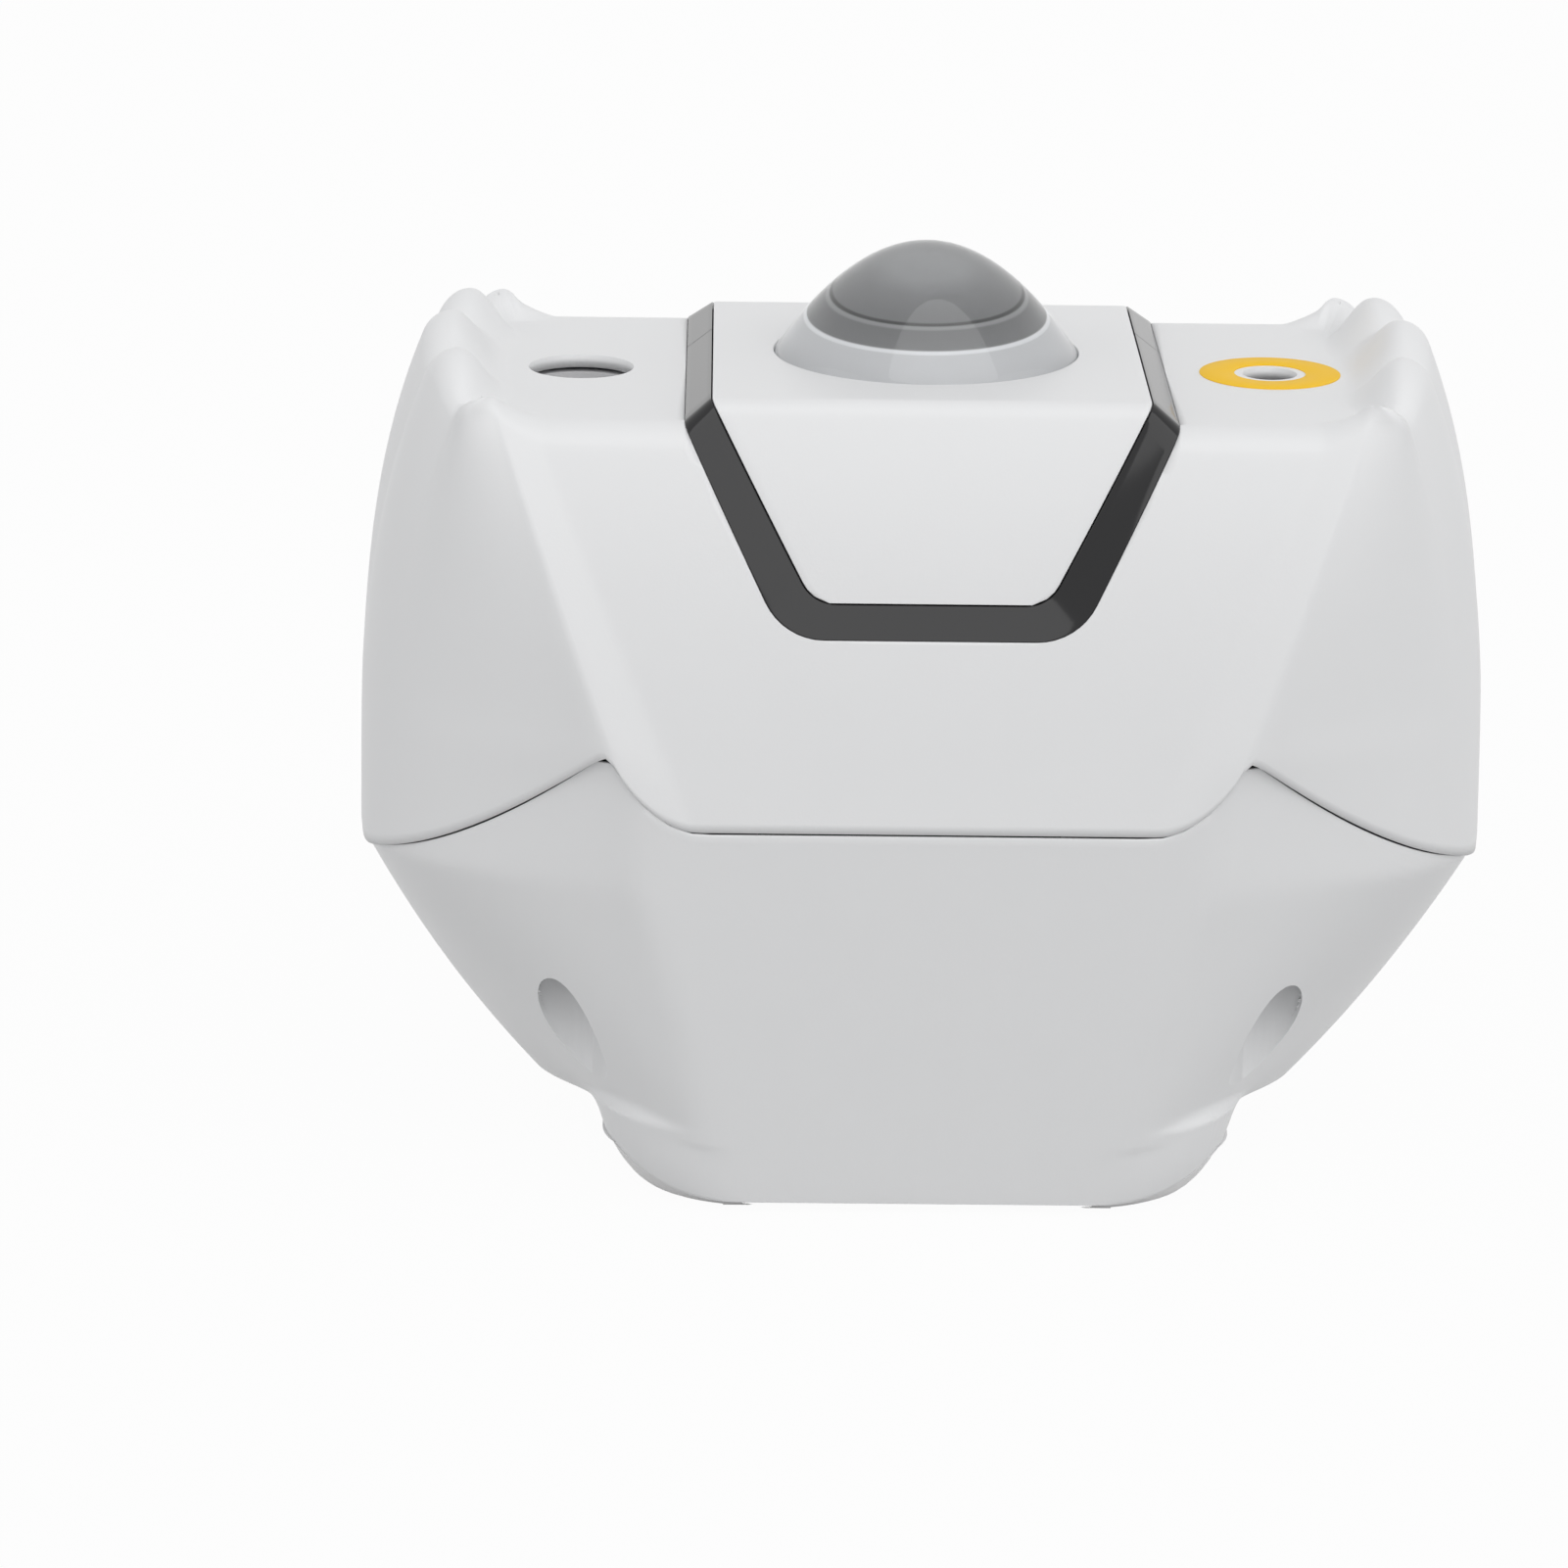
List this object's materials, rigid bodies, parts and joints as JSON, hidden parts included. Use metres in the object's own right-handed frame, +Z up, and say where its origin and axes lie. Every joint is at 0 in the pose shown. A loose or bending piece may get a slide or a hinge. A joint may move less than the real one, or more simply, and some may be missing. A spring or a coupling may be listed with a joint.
{
  "type": "star projector",
  "caption": "Table star projector: white bowl-shaped case with fluted wings, black trim frame, clear lens on top, moon and laser apertures, geared ripple and grating wheels.",
  "frame": {"origin": "on the floor, under the middle of the case", "axes": "+Z up, front faces -Y, +X to the right as seen from the front (laser side)"},
  "size_m": [0.2112, 0.1246, 0.1756],
  "materials": {
    "white_shell": "satin white with a fine texture",
    "black_trim": "gloss black",
    "clear_lens": "clear polished",
    "clear_plate": "clear, moulded ripples",
    "dark_window": "tinted",
    "dark_plastic": "matt black",
    "grey_plastic": "plain moulded",
    "gear_plastic": "natural acetal",
    "steel": "zinc plated",
    "sink_metal": "extruded",
    "laser_brass": "turned",
    "circuit_board": "solder mask",
    "emitter": "phosphor",
    "component": "moulded",
    "label_yellow": "plain printed film",
    "key_white": "satin"
  },
  "bodies": {
    "housing": {"upper_shell": "white_shell", "lower_shell": "white_shell", "trim_front": "black_trim", "trim_rear": "black_trim", "ir_receiver": "dark_plastic", "feet": "white_shell", "case_screws": "steel", "dome_lens": "clear_lens", "lens_retainer": "dark_plastic", "retainer_screws": "steel", "chassis_plate": "dark_plastic", "chassis_screws": "steel", "light_tube": "dark_plastic", "led_board": "circuit_board", "led_emitters": "emitter", "condenser_lens": "clear_plate", "heat_sink": "sink_metal", "gear_motor": "steel", "motor_screws": "steel", "idler_axle": "steel", "idler_clip": "steel", "laser_holder": "grey_plastic", "laser_module": "laser_brass", "laser_window": "dark_window", "laser_label": "label_yellow", "moon_barrel": "grey_plastic", "moon_lens": "clear_lens", "moon_slide": "clear_plate", "moon_board": "circuit_board", "main_board": "circuit_board", "board_components": "component", "rear_board": "circuit_board", "board_screws": "steel", "key_switches": "component", "power_inlet": "steel"},
    "ripple_wheel": {"ripple_wheel": "gear_plastic", "ripple_plate": "clear_plate"},
    "pinion": {"motor_shaft": "steel", "pinion": "gear_plastic"},
    "idler": {"idler_gear": "gear_plastic"},
    "grating_wheel": {"grating_wheel": "gear_plastic", "grating_film": "clear_plate"},
    "power_button": {"power_button": "key_white"},
    "mode_button": {"mode_button": "key_white"}
  },
  "joints": [
    {"name": "ripple_spin", "type": "hinge", "parent": "housing", "child": "ripple_wheel", "pos_m": [0, 0, 0.14], "axis": [0, 0, 1], "continuous": true},
    {"name": "pinion_spin", "type": "hinge", "parent": "housing", "child": "pinion", "pos_m": [-0.0352, 0, 0.14], "axis": [0, 0, 1], "continuous": true},
    {"name": "idler_spin", "type": "hinge", "parent": "housing", "child": "idler", "pos_m": [0.0409, 0.00761, 0.14], "axis": [0, 0, 1], "continuous": true},
    {"name": "grating_spin", "type": "hinge", "parent": "housing", "child": "grating_wheel", "pos_m": [0.0645, 0, 0.14], "axis": [0, 0, 1], "continuous": true},
    {"name": "power_press", "type": "slide", "parent": "housing", "child": "power_button", "axis": [0, -1, 0], "range_m": [0, 0.0006], "stiffness_N_per_m": 1200},
    {"name": "mode_press", "type": "slide", "parent": "housing", "child": "mode_button", "axis": [0, -1, 0], "range_m": [0, 0.0006], "stiffness_N_per_m": 1200}
  ],
  "couplings": [
    {"joint": "pinion_spin", "follows": "ripple_spin", "ratio": -6.3333},
    {"joint": "idler_spin", "follows": "ripple_spin", "ratio": -2.7143},
    {"joint": "grating_spin", "follows": "ripple_spin", "ratio": 2.2353}
  ]
}
